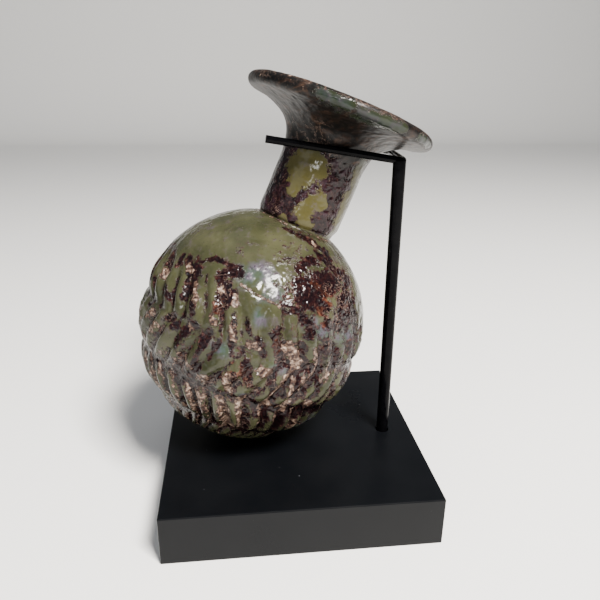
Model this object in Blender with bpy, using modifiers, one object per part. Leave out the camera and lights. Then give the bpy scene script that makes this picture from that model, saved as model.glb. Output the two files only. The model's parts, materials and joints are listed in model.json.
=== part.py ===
"""A Roman glass bottle, mould-blown with rows of slanted knobs, on its black display stand.

The bottle leans to the right. Its round body rests on the square block, and a fork of round
wire on top of a post holds its neck just under the flare. Everything is in metres, with +Z up
and the origin at the centre of the block's underside. The front of the stand faces -Y.
"""
import math

import bmesh
import bpy
from mathutils import Matrix, Vector

# Clearance between pieces that touch
TOUCH_GAP = 0.0003

# Square block of the stand
BASE_SIDE = 0.0760
BASE_THICKNESS = 0.0144
BASE_EDGE_BREAK = 0.0003

# Body of the bottle, measured over its smooth shoulder and the crests of its knobs.
# The wall is its thickness under the grooves, where it is least.
BODY_DIAMETER = 0.0680
BODY_HEIGHT = 0.0698
BODY_WALL = 0.0020
BODY_X = -0.0115
BODY_Y = 0.0062

# Lean of the bottle: how far from upright, and towards which side of the stand
LEAN = math.radians(21.5)
LEAN_HEADING = math.radians(14.0)

# Pressed pattern: rows of knobs that slant one way and then the other, with a groove at
# either end of a row. Angles go down from the neck, about the middle of the body.
KNOBS_PER_ROW = 36
KNOB_ROWS = 4
GROOVE_DEPTH = 0.0016
DEPTH_BETWEEN_KNOBS = 0.0010
GROOVE_SHARPNESS = 0.8
KNOB_SHARPNESS = 1.5
FIRST_GROOVE = math.radians(63.0)
ROW_PITCH = math.radians(24.8)
ZIGZAG_REACH = math.radians(4.5)
PATTERN_TURN = math.radians(-2.5)

# The pattern fades out over this many rows, and begins this many rows past its last groove
PATTERN_FADE_ROWS = 0.7
PATTERN_OVERRUN_ROWS = 0.2

# Towards the bottom the relief gets shallower inside this share of the body's width
FULL_RELIEF_WIDTH = 0.77

# Neck, flare and lip, measured from the middle of the lip down
RIM_ABOVE_BODY_MIDDLE = 0.0669
RIM_DIAMETER = 0.0559
LIP_THICKNESS = 0.0040
LIP_OVERHANG = 0.0029
FLARE_FALL = 0.0031
FLARE_HEIGHT = 0.0155
NECK_DIAMETER = 0.0240
NECK_WALL = 0.0020
NECK_SWELL = 0.0002
NECK_OFFSET = 0.0031
NECK_BEND = 0.0011
CREASE_DIAMETER = 0.0226
CREASE_RISE = 0.0029

# Fork of round wire
WIRE_DIAMETER = 0.0021
FORK_BELOW_RIM = 0.0095
FORK_SLOPE = math.radians(9.0)
FORK_CORNER_RADIUS = 0.0024
FRONT_TINE_PAST_NECK = 0.0190
BACK_TINE_PAST_NECK = 0.0080
FORK_END_SLACK = 0.0013
FORK_END_SKEW = math.radians(7.0)
POST_FROM_CORNER = 0.0012

# Post
POST_DIAMETER = 0.0036
POST_SOCKET_DEPTH = 0.0080

# Facets
STEPS_PER_KNOB = 3
RINGS_PER_ROW = 4
SHOULDER_RINGS = 4
LIP_RINGS = 8
FLARE_RINGS = 5
NECK_STEPS = 40
INSIDE_STEPS = 32
INSIDE_RINGS = 14
POST_STEPS = 24
CORNER_STEPS = 6


def clear_scene():
    for existing in list(bpy.data.objects):
        bpy.data.objects.remove(existing, do_unlink=True)


def new_collection(name):
    collection = bpy.data.collections.new(name)
    bpy.context.scene.collection.children.link(collection)
    return collection


def new_material(name, colour, roughness, metallic=0.0, transmission=0.0):
    material = bpy.data.materials.new(name)
    material.use_nodes = True
    shader = material.node_tree.nodes["Principled BSDF"]
    shader.inputs["Base Color"].default_value = (*colour, 1.0)
    shader.inputs["Roughness"].default_value = roughness
    shader.inputs["Metallic"].default_value = metallic
    shader.inputs["Transmission Weight"].default_value = transmission
    return material


def turned(name, profile, steps, collection):
    """A solid turned about Z from a profile of (radius, height) points, top to bottom."""
    mesh = bpy.data.meshes.new(name)
    points = [(radius, 0.0, height) for radius, height in profile]
    mesh.from_pydata(points, [(i, i + 1) for i in range(len(points) - 1)], [])
    piece = bpy.data.objects.new(name, mesh)
    collection.objects.link(piece)
    screw = piece.modifiers.new("Turn", "SCREW")
    screw.steps = steps
    screw.render_steps = steps
    screw.use_merge_vertices = True
    screw.merge_threshold = 0.00001
    return piece


def applied(piece):
    """The piece with its modifiers made part of its mesh."""
    bpy.context.view_layer.update()
    evaluated = piece.evaluated_get(bpy.context.evaluated_depsgraph_get())
    mesh = bpy.data.meshes.new_from_object(evaluated)
    piece.modifiers.clear()
    piece.data = mesh
    return piece


def boolean(piece, other, operation):
    cut = piece.modifiers.new(operation.title(), "BOOLEAN")
    cut.operation = operation
    cut.object = other
    cut.solver = "EXACT"


def hide_cutter(cutter):
    cutter.hide_render = True
    cutter.display_type = "WIRE"


# Shape of the body

def ring_angles():
    """Polar angles of the body's rings, from the neck down. The first ring is in the neck."""
    first = 0.9 * math.asin(CREASE_DIAMETER / BODY_DIAMETER)
    span = FIRST_GROOVE - first
    angles = [0.0]
    for ring in range(SHOULDER_RINGS):
        angles.append(first + span * ring / SHOULDER_RINGS)
    for ring in range(KNOB_ROWS * RINGS_PER_ROW + 1):
        angles.append(FIRST_GROOVE + ROW_PITCH * ring / RINGS_PER_ROW)
    return angles + [(angles[-1] + math.pi) / 2, math.pi]


def along_row(polar):
    """Share of a knob's height along its length: none in the grooves, full in the middle."""
    place = (polar - FIRST_GROOVE) / ROW_PITCH
    return math.sin(math.pi * (place % 1.0)) ** GROOVE_SHARPNESS


def pattern_share(polar):
    """How much of the pressed pattern shows: none on the shoulder and at the very bottom."""
    place = (polar - FIRST_GROOVE) / ROW_PITCH
    inward = min(place, KNOB_ROWS - place) + PATTERN_OVERRUN_ROWS
    return min(max(inward / PATTERN_FADE_ROWS, 0.0), 1.0)


def zigzag(polar):
    """Turn of the knobs about the axis: one way down a row, and back down the next."""
    place = min(max((polar - FIRST_GROOVE) / ROW_PITCH, 0.0), KNOB_ROWS)
    triangle = 1.0 - abs((place % 2.0) - 1.0) * 2.0
    return PATTERN_TURN + ZIGZAG_REACH * triangle


def across_knob(turn):
    """Share of a knob's height across its width, as one crest to a knob."""
    wave = 0.5 + 0.5 * math.cos(turn * KNOBS_PER_ROW)
    return wave ** KNOB_SHARPNESS


def make_body(collection):
    half_width = BODY_DIAMETER / 2
    half_height = BODY_HEIGHT / 2
    profile = [(half_width * math.sin(a), half_height * math.cos(a)) for a in ring_angles()]
    profile[0] = (0.0, half_height)
    profile[-1] = (0.0, -half_height)
    body = applied(turned("bottle", profile, KNOBS_PER_ROW * STEPS_PER_KNOB, collection))
    for vertex in body.data.vertices:
        x, y, z = vertex.co
        radius = math.hypot(x, y)
        polar = math.atan2(radius / half_width, z / half_height)
        turn = math.atan2(y, x)
        groove = GROOVE_DEPTH * (1.0 - along_row(polar))
        between = DEPTH_BETWEEN_KNOBS * along_row(polar) * (1.0 - across_knob(turn))
        share = pattern_share(polar) * min(math.sin(polar) / FULL_RELIEF_WIDTH, 1.0)
        sunk = (groove + between) * share
        radius -= sunk * math.sin(polar)
        z -= sunk * math.cos(polar)
        turn += zigzag(polar)
        vertex.co = (radius * math.cos(turn), radius * math.sin(turn), z)
    return body


# Shape of the neck, flare and lip

def flare_radius(drop):
    """Outer radius at a depth below the rim: the neck's, swelling until it meets the lip."""
    neck = NECK_DIAMETER / 2
    at_lip = RIM_DIAMETER / 2 - LIP_OVERHANG
    return neck + (at_lip - neck) * math.exp((LIP_THICKNESS / 2 - drop) / FLARE_FALL)


def funnel_radius(drop):
    """Inner radius at a depth below the rim."""
    bore = NECK_DIAMETER / 2 - NECK_WALL
    mouth = RIM_DIAMETER / 2 - LIP_THICKNESS
    return bore + (mouth - bore) * math.exp(-drop / FLARE_FALL)


def flare_profile(radius_at, start):
    """Points down the flare, closer together near the lip where it turns fastest."""
    points = []
    for ring in range(FLARE_RINGS + 1):
        share = (ring / FLARE_RINGS) ** 1.5
        drop = start + (FLARE_HEIGHT - start) * share
        points.append((radius_at(drop), -drop))
    return points


def lip_arc(start, end):
    """Points round the section of the lip, from one angle to another."""
    lip_radius = LIP_THICKNESS / 2
    middle = RIM_DIAMETER / 2 - lip_radius
    points = []
    for ring in range(LIP_RINGS):
        angle = start + (end - start) * ring / (LIP_RINGS - 1)
        points.append((middle + lip_radius * math.cos(angle), lip_radius * math.sin(angle)))
    return points


def crease_drop():
    """Depth below the rim at which the neck meets the body."""
    share = CREASE_DIAMETER / BODY_DIAMETER
    return RIM_ABOVE_BODY_MIDDLE - BODY_HEIGHT / 2 * math.sqrt(1.0 - share * share)


def bend_neck(piece):
    """Bends the foot of the neck back towards the middle of the body."""
    length = crease_drop() - FLARE_HEIGHT
    for vertex in piece.data.vertices:
        share = min(max((-vertex.co.z - FLARE_HEIGHT) / length, 0.0), 1.0)
        vertex.co.x -= NECK_BEND * share * share


def turned_neck(name, profile, steps, collection):
    piece = applied(turned(name, profile, steps, collection))
    bend_neck(piece)
    piece.location = (NECK_OFFSET, 0.0, RIM_ABOVE_BODY_MIDDLE)
    hide_cutter(piece)
    return piece


def make_neck(collection):
    """The outside of the neck, flare and lip as a solid, which the inside is cut from."""
    neck = NECK_DIAMETER / 2
    crease = crease_drop()
    waist = crease - CREASE_RISE
    foot = crease + GROOVE_DEPTH + BODY_WALL
    profile = [(0.0, LIP_THICKNESS / 2)]
    profile += lip_arc(math.radians(90), math.radians(-75))
    profile += flare_profile(flare_radius, LIP_THICKNESS / 2)
    profile.append((neck, -(FLARE_HEIGHT + waist) / 2))
    profile.append((neck + NECK_SWELL, -waist))
    profile.append((CREASE_DIAMETER / 2, -crease))
    profile.append((CREASE_DIAMETER / 2, -foot))
    profile.append((0.0, -foot))
    return turned_neck("neck_outside", profile, NECK_STEPS, collection)


def make_neck_inside(collection):
    """The bore and the funnel of the mouth, open at the top and down into the body."""
    above = LIP_THICKNESS * 2
    inner_lip = lip_arc(math.radians(105), math.radians(180))
    crease = crease_drop()
    narrow = CREASE_DIAMETER / 2 - NECK_WALL
    foot = crease + (GROOVE_DEPTH + BODY_WALL) * 3
    profile = [(0.0, above), (inner_lip[0][0], above)]
    profile += inner_lip[::2]
    profile += flare_profile(funnel_radius, 0.0)
    profile.append((NECK_DIAMETER / 2 - NECK_WALL, -crease + CREASE_RISE))
    profile.append((narrow, -crease))
    profile.append((narrow, -foot))
    profile.append((0.0, -foot))
    return turned_neck("neck_inside", profile, INSIDE_STEPS, collection)


def make_body_inside(collection):
    half_width = BODY_DIAMETER / 2 - GROOVE_DEPTH - BODY_WALL
    half_height = BODY_HEIGHT / 2 - GROOVE_DEPTH - BODY_WALL
    profile = []
    for ring in range(INSIDE_RINGS + 1):
        angle = math.pi * ring / INSIDE_RINGS
        profile.append((half_width * math.sin(angle), half_height * math.cos(angle)))
    profile[0] = (0.0, half_height)
    profile[-1] = (0.0, -half_height)
    inside = turned("body_inside", profile, INSIDE_STEPS, collection)
    hide_cutter(inside)
    return inside


def bottle_turn():
    """Rotation that leans the upright bottle over towards its heading."""
    return Matrix.Rotation(LEAN_HEADING, 4, "Z") @ Matrix.Rotation(LEAN, 4, "Y")


def make_bottle(collection, cutters):
    bottle = make_body(collection)
    for other, operation in (
        (make_neck(cutters), "UNION"),
        (make_body_inside(cutters), "DIFFERENCE"),
        (make_neck_inside(cutters), "DIFFERENCE"),
    ):
        boolean(bottle, other, operation)
        applied(bottle)
    turn = bottle_turn()
    lowest = min((turn @ vertex.co).z for vertex in bottle.data.vertices)
    height = BASE_THICKNESS + TOUCH_GAP - lowest
    bottle.rotation_euler = (0.0, LEAN, LEAN_HEADING)
    bottle.location = (BODY_X, BODY_Y, height)
    bottle.data.shade_smooth()
    bottle.data.set_sharp_from_angle(angle=math.radians(45))
    return bottle


# Shape of the stand

def neck_point(bottle, drop):
    """Place of the neck's axis at a depth below the rim."""
    local = Vector((NECK_OFFSET, 0.0, RIM_ABOVE_BODY_MIDDLE - drop))
    return bottle.location + bottle_turn() @ local


def rounded_path(corners, radius):
    """Points along straight runs whose inner corners are rounded to a radius."""
    points = [corners[0]]
    for before, corner, after in zip(corners, corners[1:], corners[2:]):
        back = (before - corner).normalized()
        ahead = (after - corner).normalized()
        half = back.angle(ahead) / 2
        centre = corner + (back + ahead).normalized() * (radius / math.sin(half))
        start = corner + back * (radius / math.tan(half)) - centre
        end = corner + ahead * (radius / math.tan(half)) - centre
        sweep = start.angle(end)
        for i in range(CORNER_STEPS + 1):
            turn = sweep * i / CORNER_STEPS
            before_share = math.sin(sweep - turn) / math.sin(sweep)
            after_share = math.sin(turn) / math.sin(sweep)
            points.append(centre + start * before_share + end * after_share)
    points.append(corners[-1])
    return points


def in_fork_plane(x, y):
    """Offset from the neck's axis to a place in the fork's sloping plane."""
    return Vector((x, y, -x * math.tan(FORK_SLOPE)))


def flare_outline():
    """Outside of the neck and flare, as (radius, depth below the rim) points."""
    top = LIP_THICKNESS / 2
    span = FLARE_HEIGHT * 1.6 - top
    drops = [top + span * i / 60 for i in range(61)]
    return [(flare_radius(drop), drop) for drop in drops]


def gap_to_flare(offset):
    """Distance from a place in the fork's plane to the outside of the flare, less inside it."""
    axis = bottle_turn() @ Vector((0.0, 0.0, 1.0))
    rise = offset.dot(axis)
    radius = (offset - axis * rise).length
    drop = FORK_BELOW_RIM - rise
    nearest = min(math.hypot(radius - r, drop - d) for r, d in flare_outline())
    if radius > flare_radius(drop):
        return nearest
    return -nearest


def clear_reach(across, along):
    """Least distance from the neck's axis at which a straight wire stays clear of the flare."""
    reach = NECK_DIAMETER / 2
    spread = RIM_DIAMETER / 2
    shares = [i / 12 for i in range(-12, 13)]
    clearance = WIRE_DIAMETER / 2 + TOUCH_GAP
    while True:
        places = [across * reach + along * spread * share for share in shares]
        if min(gap_to_flare(in_fork_plane(place.x, place.y)) for place in places) >= clearance:
            return reach
        reach += TOUCH_GAP / 3


def fork_corners(bottle):
    """Tip, two corners and tip of the fork's centre line, round the neck."""
    axis_point = neck_point(bottle, FORK_BELOW_RIM)
    sideways = Vector((1.0, 0.0))
    depthways = Vector((0.0, 1.0))
    front = clear_reach(-depthways, sideways)
    back = clear_reach(depthways, sideways)
    skew = math.tan(FORK_END_SKEW)
    end = clear_reach(sideways, depthways + sideways * skew) + FORK_END_SLACK
    corners = [
        (-FRONT_TINE_PAST_NECK, -front),
        (end - front * skew, -front),
        (end + back * skew, back),
        (-BACK_TINE_PAST_NECK, back),
    ]
    return [axis_point + in_fork_plane(x, y) for x, y in corners]


def make_wire(name, collection, corners, diameter):
    """A wire along the fork's centre line, as a mesh with welded ends."""
    path = rounded_path(corners, FORK_CORNER_RADIUS)
    curve = bpy.data.curves.new(name, "CURVE")
    curve.dimensions = "3D"
    curve.bevel_depth = diameter / 2
    curve.bevel_resolution = 3
    curve.use_fill_caps = True
    spline = curve.splines.new("POLY")
    spline.points.add(len(path) - 1)
    for point, place in zip(spline.points, path):
        point.co = (*place, 1.0)
    drawn = bpy.data.objects.new(name + "_line", curve)
    collection.objects.link(drawn)
    bpy.context.view_layer.update()
    evaluated = drawn.evaluated_get(bpy.context.evaluated_depsgraph_get())
    mesh = bpy.data.meshes.new_from_object(evaluated)
    bpy.data.objects.remove(drawn, do_unlink=True)
    welded = bmesh.new()
    welded.from_mesh(mesh)
    bmesh.ops.remove_doubles(welded, verts=welded.verts, dist=0.00001)
    welded.to_mesh(mesh)
    welded.free()
    wire = bpy.data.objects.new(name, mesh)
    collection.objects.link(wire)
    return wire


def make_post(collection, cutters, corners, seat):
    """The rod, from its socket in the block up to a saddle that the fork's bend sits in."""
    foot = BASE_THICKNESS - POST_SOCKET_DEPTH + TOUCH_GAP
    top = seat.z
    bpy.ops.mesh.primitive_cylinder_add(
        vertices=POST_STEPS,
        radius=POST_DIAMETER / 2,
        depth=top - foot,
        location=(seat.x, seat.y, (top + foot) / 2),
    )
    post = bpy.context.object
    post.name = "post"
    move_to(post, collection)
    saddle = make_wire("saddle_cutter", cutters, corners, WIRE_DIAMETER + TOUCH_GAP * 2)
    hide_cutter(saddle)
    boolean(post, saddle, "DIFFERENCE")
    applied(post)
    post.data.shade_smooth()
    post.data.set_sharp_from_angle(angle=math.radians(40))
    return post


def move_to(piece, collection):
    for owner in list(piece.users_collection):
        owner.objects.unlink(piece)
    collection.objects.link(piece)


def make_base(collection, cutters, seat):
    bpy.ops.mesh.primitive_cube_add(size=1.0, location=(0.0, 0.0, BASE_THICKNESS / 2))
    base = bpy.context.object
    base.name = "base_block"
    base.data.transform(Matrix.Diagonal((BASE_SIDE, BASE_SIDE, BASE_THICKNESS, 1.0)))
    move_to(base, collection)
    bevel = base.modifiers.new("Edges", "BEVEL")
    bevel.width = BASE_EDGE_BREAK
    bevel.segments = 2
    bpy.ops.mesh.primitive_cylinder_add(
        vertices=POST_STEPS,
        radius=POST_DIAMETER / 2 + TOUCH_GAP,
        depth=POST_SOCKET_DEPTH * 2,
        location=(seat.x, seat.y, BASE_THICKNESS),
    )
    socket = bpy.context.object
    socket.name = "post_socket"
    move_to(socket, cutters)
    hide_cutter(socket)
    boolean(base, socket, "DIFFERENCE")
    return base


def main():
    clear_scene()
    parts = new_collection("roman_glass_bottle")
    cutters = new_collection("cutters")
    bottle = make_bottle(parts, cutters)
    corners = fork_corners(bottle)
    seat = corners[1] + (corners[0] - corners[1]).normalized() * POST_FROM_CORNER
    fork = make_wire("neck_fork", parts, corners, WIRE_DIAMETER)
    fork.data.shade_smooth()
    fork.data.set_sharp_from_angle(angle=math.radians(50))
    post = make_post(parts, cutters, corners, seat)
    base = make_base(parts, cutters, seat)

    olive_glass = new_material("olive_glass", (0.16, 0.17, 0.06), 0.25, transmission=0.3)
    black_acrylic = new_material("black_acrylic", (0.012, 0.012, 0.014), 0.45)
    black_enamel = new_material("black_enamel", (0.008, 0.008, 0.008), 0.2)
    bottle.data.materials.clear()
    bottle.data.materials.append(olive_glass)
    base.data.materials.append(black_acrylic)
    post.data.materials.append(black_enamel)
    fork.data.materials.append(black_enamel)


main()
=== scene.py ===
# %% [markdown]
# # A Roman glass bottle leaning on its display stand
#
# The real bottle is olive glass, blown in Roman times with a pattern of slanted knobs, and later
# crusted by its long time in the ground. It leans on a modern black stand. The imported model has
# the right shapes and sizes, and materials alone could dress it. But worn knobs and crust cast
# small shadows of their own, so this notebook builds the bottle a fine skin, gives the stand its
# finishes, and lights both in a plain studio. Lengths are in millimetres until a mesh is made.

import json
import math

import bpy
import numpy as np
from mathutils import Euler, Matrix, Vector

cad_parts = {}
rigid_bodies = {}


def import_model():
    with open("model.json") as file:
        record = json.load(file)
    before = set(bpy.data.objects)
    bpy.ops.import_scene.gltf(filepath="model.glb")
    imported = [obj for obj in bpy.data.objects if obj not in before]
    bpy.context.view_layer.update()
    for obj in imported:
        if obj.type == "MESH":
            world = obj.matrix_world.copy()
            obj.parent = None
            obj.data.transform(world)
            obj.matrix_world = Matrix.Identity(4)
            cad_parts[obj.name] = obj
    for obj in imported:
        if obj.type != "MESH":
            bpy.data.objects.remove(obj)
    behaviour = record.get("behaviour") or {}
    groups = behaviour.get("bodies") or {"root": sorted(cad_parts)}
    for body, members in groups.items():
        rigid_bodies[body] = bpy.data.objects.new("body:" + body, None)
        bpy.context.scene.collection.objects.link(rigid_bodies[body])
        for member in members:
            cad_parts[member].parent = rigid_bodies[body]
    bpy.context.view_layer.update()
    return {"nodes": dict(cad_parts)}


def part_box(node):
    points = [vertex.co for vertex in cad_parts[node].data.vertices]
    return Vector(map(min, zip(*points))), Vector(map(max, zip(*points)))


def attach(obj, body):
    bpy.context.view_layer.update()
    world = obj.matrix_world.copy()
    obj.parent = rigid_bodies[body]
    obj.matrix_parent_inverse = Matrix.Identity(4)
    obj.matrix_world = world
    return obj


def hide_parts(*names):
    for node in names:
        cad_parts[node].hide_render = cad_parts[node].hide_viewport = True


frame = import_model()
print("nodes:", sorted(frame["nodes"]))

# %% [markdown]
# ## Sizes of the bottle
#
# The real bottle has a near-round body, a short neck and a funnel mouth, and it leans over. Its
# sizes could be measured off the solid's mesh, but then nobody could read what each one means.
# So they are named here, and are the sizes of the solid that the skin stands for. The upright
# bottle is built about the middle of its body, and leans over only at the end.

# %% Sizes of the body and its lean
MM = 0.001
BODY_RADIUS = 34.0
BODY_HALF_HEIGHT = 34.9
BODY_WALL = 3.6
BODY_PLACE = (-11.5, 6.2)
LEAN = math.radians(21.5)
LEAN_HEADING = math.radians(14.0)
# Azimuths are degrees from the meridian that faces the front of the stand
FRONT_MERIDIAN = -112.7
STEPS_ROUND = 360
print("one step round the body, mm:", round(2.0 * math.pi * BODY_RADIUS / STEPS_ROUND, 2))

# %% Sizes of the mouth, the neck and the crease at its foot
RIM_HEIGHT = 66.9
RIM_RADIUS = 27.95
LIP_RADIUS = 2.0
LIP_OVERHANG = 2.9
FLARE_FALL = 3.1
FLARE_HEIGHT = 15.5
NECK_RADIUS = 12.0
NECK_WALL = 2.0
NECK_OFFSET = 3.1
NECK_BEND = 1.1
NECK_SWELL = 0.2
CREASE_RADIUS = 11.3
CREASE_RISE = 2.9
CREASE_PINCH = 0.9
CREASE_GAP = 0.6
print("mouth across, mm:", 2.0 * RIM_RADIUS)

# %% [markdown]
# ## The profile
#
# The glassblower drew the neck out of the bubble, opened it to a funnel and rounded the lip in
# the fire. The outline could be drawn by hand and spun with a Screw modifier. Formulas are used
# instead, because each ring then knows which part it is in and how far down it lies, and the
# marks need that later. The skin is one closed surface. It starts at the bottom of the inside,
# climbs the wall, turns over the lip, and comes down flare, neck and body to the outside of the
# bottom.

# %% Curves of the flare, the funnel, the lip and the body
def flare_radius(drop):
    at_lip = RIM_RADIUS - LIP_OVERHANG
    return NECK_RADIUS + (at_lip - NECK_RADIUS) * np.exp((LIP_RADIUS - drop) / FLARE_FALL)


def funnel_radius(drop):
    bore = NECK_RADIUS - NECK_WALL
    mouth = RIM_RADIUS - LIP_RADIUS * 2
    return bore + (mouth - bore) * np.exp(-drop / FLARE_FALL)


def lip_ring(degrees):
    angle = np.radians(degrees)
    radius = RIM_RADIUS - LIP_RADIUS + LIP_RADIUS * np.cos(angle)
    return radius, RIM_HEIGHT + LIP_RADIUS * np.sin(angle)


LAST_POLAR = 179.2


def body_rings(first, count, radius, half_height):
    """Rings of the body, at polar angles in degrees down from its top."""
    polar = np.linspace(first, LAST_POLAR, count)
    angle = np.radians(polar)
    return polar, radius * np.sin(angle), half_height * np.cos(angle)


crease = RIM_HEIGHT - BODY_HALF_HEIGHT * math.sqrt(1.0 - (CREASE_RADIUS / BODY_RADIUS) ** 2)
print("the crease lies below the rim by, mm:", round(crease, 2))

# %% A list that the rings go into, in order
rings = {"radius": [], "height": [], "polar": [], "drop": [], "part": []}
INSIDE, LIP, NECK, BODY = range(4)


def add_rings(part, radius, height, polar=None):
    rings["radius"] += list(radius)
    rings["height"] += list(height)
    rings["polar"] += list(polar if polar is not None else np.zeros(len(radius)))
    rings["drop"] += list(RIM_HEIGHT - np.array(height))
    rings["part"] += [part] * len(radius)


print("parts of the skin:", 1 + BODY)

# %% Rings up the inside and over the lip
INNER_RINGS, FUNNEL_RINGS = 16, 18
INNER_LIP_RINGS, LIP_RINGS = 6, 16
inner_radius = BODY_RADIUS - BODY_WALL
inner_first = math.degrees(math.asin((CREASE_RADIUS - NECK_WALL) / inner_radius))
polar, radius, height = body_rings(inner_first, INNER_RINGS, inner_radius, BODY_HALF_HEIGHT - BODY_WALL)
add_rings(INSIDE, radius[::-1], height[::-1], polar[::-1])
drop = np.linspace(crease - CREASE_RISE, 0.0, FUNNEL_RINGS, endpoint=False)
add_rings(INSIDE, funnel_radius(drop), RIM_HEIGHT - drop)
add_rings(INSIDE, *lip_ring(np.linspace(180.0, 100.0, INNER_LIP_RINGS)))
add_rings(LIP, *lip_ring(np.linspace(90.0, -75.0, LIP_RINGS)))
print("rings as far as the lip:", len(rings["radius"]))


# %% Rings down the outside
def rising(values, start, span):
    """0 up to the start, then up to 1 over the span."""
    return np.clip((values - start) / span, 0.0, 1.0)


def falling(values, end, span):
    """1, then down to 0 over the span before the end."""
    return np.clip((end - values) / span, 0.0, 1.0)


NECK_STEPS = 24
CROWDED_UP = 1.3
BODY_RINGS = 164
drop = LIP_RADIUS + (FLARE_HEIGHT - LIP_RADIUS) * np.linspace(0.0, 1.0, NECK_STEPS)[1:] ** CROWDED_UP
add_rings(NECK, flare_radius(drop), RIM_HEIGHT - drop)
drop = np.linspace(FLARE_HEIGHT, crease - CREASE_GAP, NECK_STEPS)[1:]
taper = rising(drop, crease - CREASE_RISE, CREASE_RISE)
add_rings(NECK, NECK_RADIUS + NECK_SWELL - CREASE_PINCH * taper ** 2, RIM_HEIGHT - drop)
outer_first = math.degrees(math.asin(CREASE_RADIUS / BODY_RADIUS))
polar, radius, height = body_rings(outer_first, BODY_RINGS, BODY_RADIUS, BODY_HALF_HEIGHT)
add_rings(BODY, radius, height, polar)
rings = {name: np.array(values, float) for name, values in rings.items()}
print("rings in the skin:", len(rings["radius"]))

# %% [markdown]
# ## From rings to a grid of points
#
# On the real bottle the neck stands a little off the middle of the body and bends slightly. A
# lattice could bend a finished mesh, but moving each ring keeps the numbers in sight. The rings
# round the neck's foot slide back to the body's middle over the shoulder, and they stay on the
# body's own surface as they do.

# %% Values over the grid
azimuth = np.arange(STEPS_ROUND) * 360.0 / STEPS_ROUND - 180.0
turn = np.radians(azimuth + FRONT_MERIDIAN)
grid_shape = (len(rings["radius"]), STEPS_ROUND)


def over_grid(values):
    return np.repeat(np.asarray(values, float)[:, None], STEPS_ROUND, axis=1)


part = over_grid(rings["part"])
polar = over_grid(rings["polar"])
drop = over_grid(rings["drop"])
around = np.repeat(azimuth[None, :], grid_shape[0], axis=0)
print("points:", grid_shape[0] * grid_shape[1])

# %% Points of the plain upright bottle
SHOULDER_END = 50.0
SHOULDER_SPAN = 30.0
below_flare = rising(rings["drop"], FLARE_HEIGHT, crease - FLARE_HEIGHT)
slide = falling(rings["polar"], SHOULDER_END, SHOULDER_SPAN)
shift = np.where(rings["polar"] > 0.0, (NECK_OFFSET - NECK_BEND) * slide ** 1.5,
                 NECK_OFFSET - NECK_BEND * below_flare ** 2)

points = np.zeros(grid_shape + (3,))
points[..., 0] = rings["radius"][:, None] * np.cos(turn) + shift[:, None]
points[..., 1] = rings["radius"][:, None] * np.sin(turn)
points[..., 2] = rings["height"][:, None]
for shell, wall in ((BODY, 0.0), (INSIDE, BODY_WALL)):
    across = np.hypot(points[..., 0], points[..., 1]) / (BODY_RADIUS - wall)
    lifted = (BODY_HALF_HEIGHT - wall) * np.sqrt(np.clip(1.0 - across ** 2, 0.0, 1.0))
    shoulder = (part == shell) & (polar > 0.0) & (polar < SHOULDER_END)
    points[..., 2] = np.where(shoulder, lifted, points[..., 2])
print("upright, mm high:", round(float(np.ptp(points[..., 2])), 1))

# %% [markdown]
# ## Noise in the round
#
# Nothing on the real bottle repeats: wear and crust wander over it. Blender's Displace modifier
# with a noise texture could move the points, but colour and relief have to agree here. So the
# noise is worked out in the script, once, for both. Random values on a lattice of cubes are
# blended smoothly, which gives lumps of any size in millimetres, the same on every run.

# %% Smooth noise with lumps of a given size
# Large odd numbers that stir a cell's three whole coordinates and a seed into one random value
STIR_X, STIR_Y, STIR_Z, STIR_SEED, STIR_AGAIN = 374761393, 668265263, 974711, 69069, 1274126177
LOW_32_BITS, LOW_24_BITS = 0xFFFFFFFF, 0xFFFFFF


def lattice(cell, seed):
    mixed = cell[..., 0] * STIR_X + cell[..., 1] * STIR_Y + cell[..., 2] * STIR_Z
    mixed = (mixed + seed * STIR_SEED) & LOW_32_BITS
    mixed = ((mixed ^ (mixed >> 13)) * STIR_AGAIN) & LOW_32_BITS
    return ((mixed ^ (mixed >> 16)) & LOW_24_BITS) / float(LOW_24_BITS)


def lumps(place, size, seed):
    """Smooth noise from -1 to 1 with lumps about the given size across."""
    scaled = place / size
    cell = np.floor(scaled).astype(np.int64)
    blend = scaled - cell
    blend = blend * blend * (3.0 - 2.0 * blend)
    total = np.zeros(place.shape[:-1])
    for corner in range(8):
        step = np.array([corner & 1, corner >> 1 & 1, corner >> 2 & 1])
        weight = np.prod(np.where(step == 1, blend, 1.0 - blend), axis=-1)
        total += weight * lattice(cell + step, seed)
    return total * 2.0 - 1.0


def layered(*layers):
    """Noises over the bottle added up, each given as a size, a seed and a strength."""
    return sum(lumps(points, size, seed) * strength for size, seed, strength in layers)


print("a lump:", round(float(lumps(points[100, :1], 5.0, 1)[0]), 3))

# %% [markdown]
# ## The pressed pattern
#
# The body was blown into a patterned mould, or pressed while it was soft: four rows of slanted
# knobs, each row leaning the other way from the one above, with a groove between rows. One knob
# could be modelled and repeated by an Array modifier, but all would be equally worn. Pressing
# the pattern into the grid of points lets noise wear every knob a little differently.

# %% Which knob and which row every point is in
KNOBS_PER_ROW = 36
KNOB_ROWS = 4
FIRST_GROOVE = 63.0
ROW_PITCH = 24.8
ZIGZAG_REACH = 4.5
PATTERN_TURN = -2.5

row_place = (polar - FIRST_GROOVE) / ROW_PITCH
within_rows = np.clip(row_place, 0.0, KNOB_ROWS)
slant = PATTERN_TURN + ZIGZAG_REACH * (1.0 - np.abs(within_rows % 2.0 - 1.0) * 2.0)
wobble = layered((9.0, 3, 1.6), (4.0, 4, 0.7))
knob = (around + FRONT_MERIDIAN - slant + wobble) * KNOBS_PER_ROW / 360.0
print("knobs on the body:", KNOBS_PER_ROW * KNOB_ROWS)

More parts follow.
